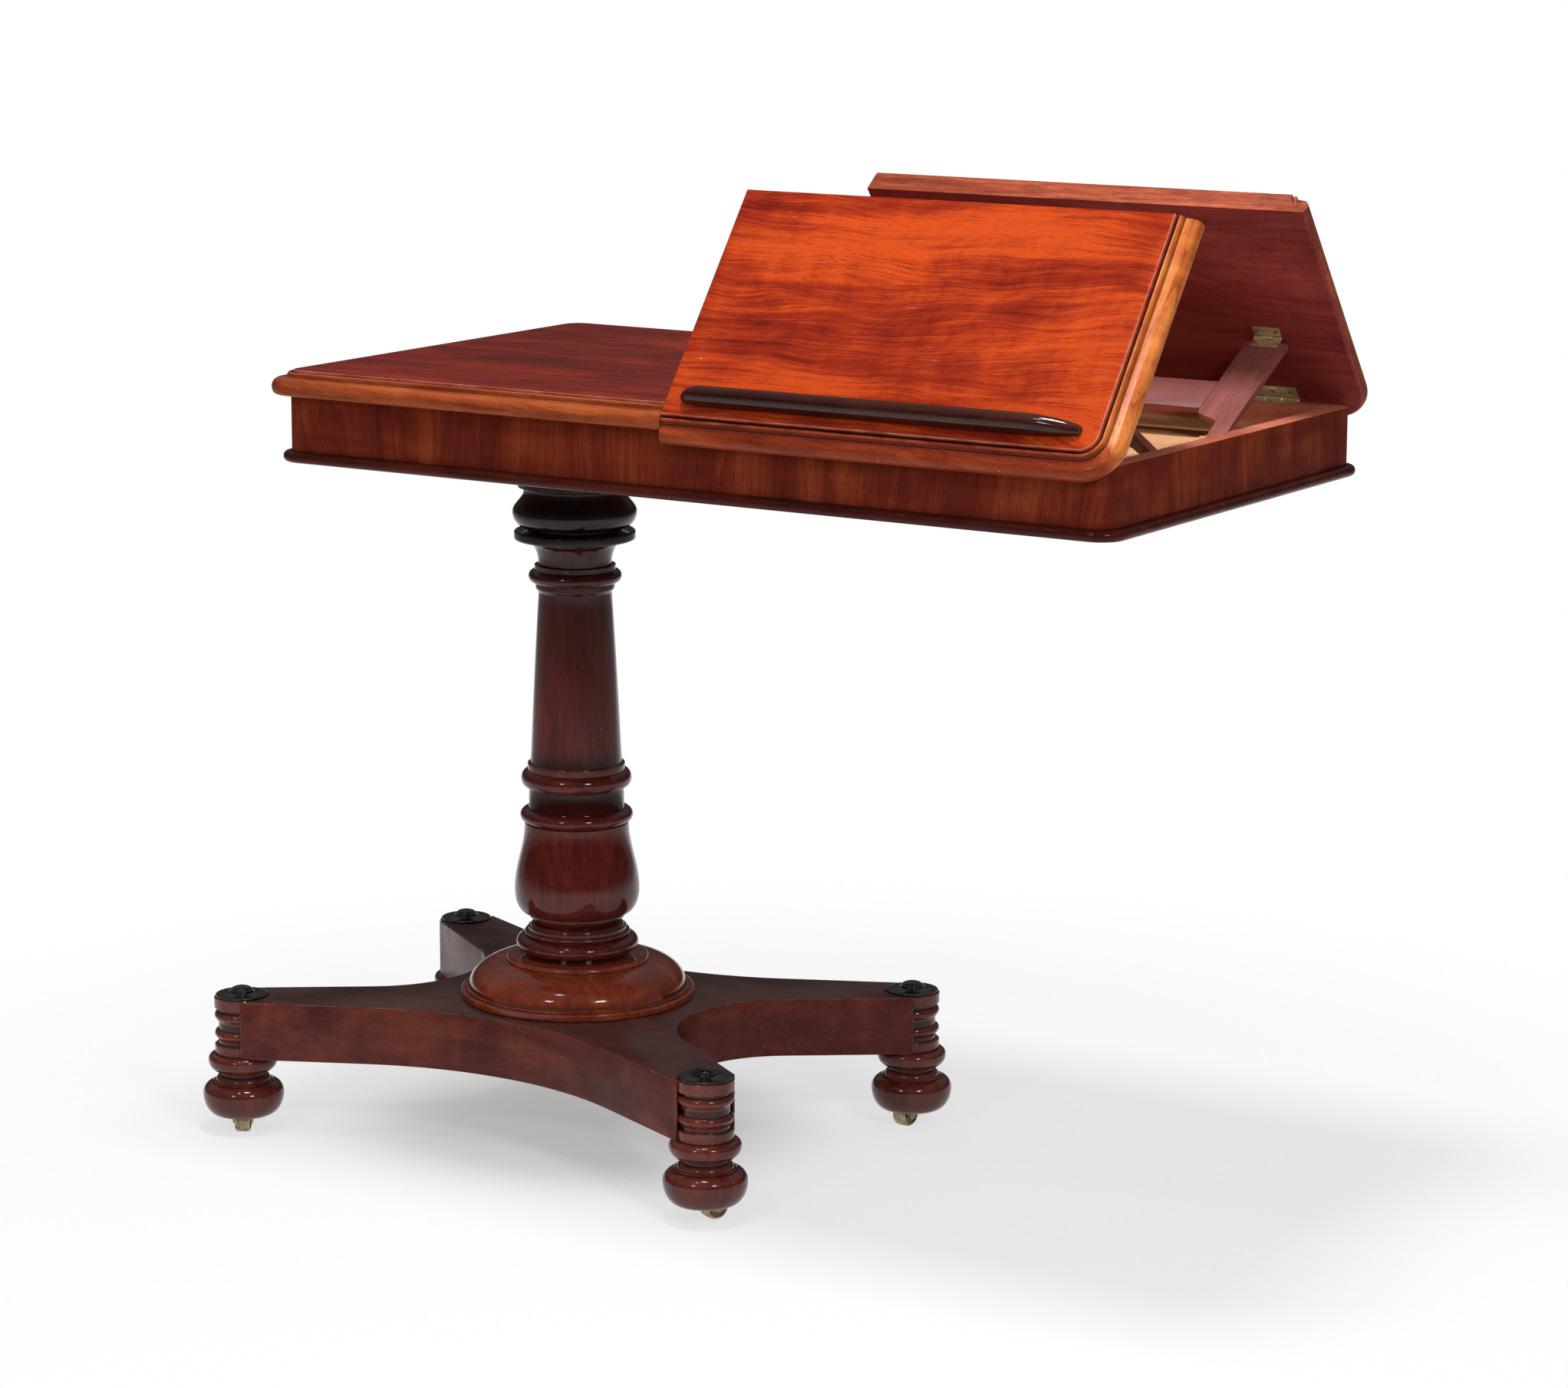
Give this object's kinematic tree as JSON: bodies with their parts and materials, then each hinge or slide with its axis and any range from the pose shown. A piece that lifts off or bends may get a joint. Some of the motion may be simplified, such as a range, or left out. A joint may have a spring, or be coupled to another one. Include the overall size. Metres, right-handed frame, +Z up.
{
  "type": "reading table",
  "caption": "Pedestal reading table with a fixed leaf and hinged reading slopes on ratchet props, over a turned column, a hollow-sided platform and turned feet with small castors.",
  "frame": {"origin": "on the floor, under the middle of the whole table's box", "axes": "+X along the top from the fixed leaf to the reading slopes, +Y from the front to the rear, +Z up"},
  "size_m": [1.0112, 0.5036, 0.9236],
  "materials": {
    "slope_mahogany": "polished red-orange mahogany, gloss",
    "leaf_mahogany": "polished dark mahogany, gloss",
    "frieze_mahogany": "polished mahogany veneer with upright figure",
    "column_mahogany": "very dark polished mahogany, high gloss",
    "platform_mahogany": "dark mahogany, worn polish",
    "ebonised_wood": "black polished wood",
    "prop_wood": "brown-red wood, satin",
    "carcase_wood": "stained wood, dull",
    "pale_wood": "bare pale wood, dull",
    "brass": "aged, dull brass"
  },
  "bodies": {
    "stand": {"platform": "platform_mahogany", "column_base_ring": "column_mahogany", "column_shaft": "column_mahogany", "column_capital": "column_mahogany", "top_bearer": "carcase_wood", "bottom_board": "frieze_mahogany", "front_frieze": "frieze_mahogany", "rear_frieze": "frieze_mahogany", "left_frieze": "frieze_mahogany", "right_frieze": "frieze_mahogany", "cross_rail": "carcase_wood", "well_floor": "pale_wood", "ratchet_left": "pale_wood", "ratchet_right": "pale_wood", "fixed_leaf": "leaf_mahogany", "foot_front_left": "column_mahogany", "foot_cap_front_left": "ebonised_wood", "foot_front_right": "column_mahogany", "foot_cap_front_right": "ebonised_wood", "foot_rear_left": "column_mahogany", "foot_cap_rear_left": "ebonised_wood", "foot_rear_right": "column_mahogany", "foot_cap_rear_right": "ebonised_wood", "front_hinge_rail_leaf_left": "brass", "front_hinge_rail_leaf_right": "brass", "rear_hinge_rail_leaf_left": "brass", "rear_hinge_rail_leaf_right": "brass"},
    "front_flap": {"front_slope": "slope_mahogany", "front_ledge": "slope_mahogany", "front_hinge_slope_leaf_left": "brass", "front_prop_hinge_slope_leaf_left": "brass", "front_hinge_slope_leaf_right": "brass", "front_prop_hinge_slope_leaf_right": "brass"},
    "front_strut": {"front_prop_rail": "prop_wood", "front_prop_hinge_prop_leaf_left": "brass", "front_prop_leg_left": "prop_wood", "front_prop_hinge_prop_leaf_right": "brass", "front_prop_leg_right": "prop_wood"},
    "rear_flap": {"rear_slope": "slope_mahogany", "rear_ledge": "slope_mahogany", "rear_hinge_slope_leaf_left": "brass", "rear_prop_hinge_slope_leaf_left": "brass", "rear_hinge_slope_leaf_right": "brass", "rear_prop_hinge_slope_leaf_right": "brass"},
    "rear_strut": {"rear_prop_rail": "prop_wood", "rear_prop_hinge_prop_leaf_left": "brass", "rear_prop_leg_left": "prop_wood", "rear_prop_hinge_prop_leaf_right": "brass", "rear_prop_leg_right": "prop_wood"},
    "castor_front_left": {"castor_fork_front_left": "brass"},
    "wheel_front_left": {"castor_wheel_front_left": "brass"},
    "castor_front_right": {"castor_fork_front_right": "brass"},
    "wheel_front_right": {"castor_wheel_front_right": "brass"},
    "castor_rear_left": {"castor_fork_rear_left": "brass"},
    "wheel_rear_left": {"castor_wheel_rear_left": "brass"},
    "castor_rear_right": {"castor_fork_rear_right": "brass"},
    "wheel_rear_right": {"castor_wheel_rear_right": "brass"}
  },
  "joints": [
    {"name": "front_slope_hinge", "type": "hinge", "parent": "stand", "child": "front_flap", "pos_m": [0.2738, -0.2315, 0.7262], "axis": [-1, 0, 0], "range_deg": [0, 53]},
    {"name": "front_prop_hinge", "type": "hinge", "parent": "front_flap", "child": "front_strut", "pos_m": [0.2738, -0.1829, 0.78787], "axis": [1, 0, 0], "range_deg": [0, 82.61]},
    {"name": "rear_slope_hinge", "type": "hinge", "parent": "stand", "child": "rear_flap", "pos_m": [0.2738, 0.2315, 0.7262], "axis": [1, 0, 0], "range_deg": [0, 53]},
    {"name": "rear_prop_hinge", "type": "hinge", "parent": "rear_flap", "child": "rear_strut", "pos_m": [0.2738, 0.1829, 0.78787], "axis": [-1, 0, 0], "range_deg": [0, 82.61]},
    {"name": "castor_swivel_front_left", "type": "hinge", "parent": "stand", "child": "castor_front_left", "pos_m": [-0.4668, -0.1819, 0], "axis": [0, 0, 1], "continuous": true},
    {"name": "wheel_turn_front_left", "type": "hinge", "parent": "castor_front_left", "child": "wheel_front_left", "pos_m": [-0.46203, -0.18953, 0.0125], "axis": [0.848, 0.5299, 0], "continuous": true},
    {"name": "castor_swivel_front_right", "type": "hinge", "parent": "stand", "child": "castor_front_right", "pos_m": [0.0648, -0.1819, 0], "axis": [0, 0, 1], "continuous": true},
    {"name": "wheel_turn_front_right", "type": "hinge", "parent": "castor_front_right", "child": "wheel_front_right", "pos_m": [0.06846, -0.17368, 0.0125], "axis": [-0.9135, 0.4067, 0], "continuous": true},
    {"name": "castor_swivel_rear_left", "type": "hinge", "parent": "stand", "child": "castor_rear_left", "pos_m": [-0.4668, 0.1819, 0], "axis": [0, 0, 1], "continuous": true},
    {"name": "wheel_turn_rear_left", "type": "hinge", "parent": "castor_rear_left", "child": "wheel_rear_left", "pos_m": [-0.47459, 0.1864, 0.0125], "axis": [-0.5, -0.866, 0], "continuous": true},
    {"name": "castor_swivel_rear_right", "type": "hinge", "parent": "stand", "child": "castor_rear_right", "pos_m": [0.0648, 0.1819, 0], "axis": [0, 0, 1], "continuous": true},
    {"name": "wheel_turn_rear_right", "type": "hinge", "parent": "castor_rear_right", "child": "wheel_rear_right", "pos_m": [0.06386, 0.17295, 0.0125], "axis": [0.9945, -0.1045, 0], "continuous": true}
  ],
  "couplings": [
    {"joint": "front_prop_hinge", "follows": "front_slope_hinge", "ratio": 1.5585},
    {"joint": "rear_prop_hinge", "follows": "rear_slope_hinge", "ratio": 1.5585}
  ]
}
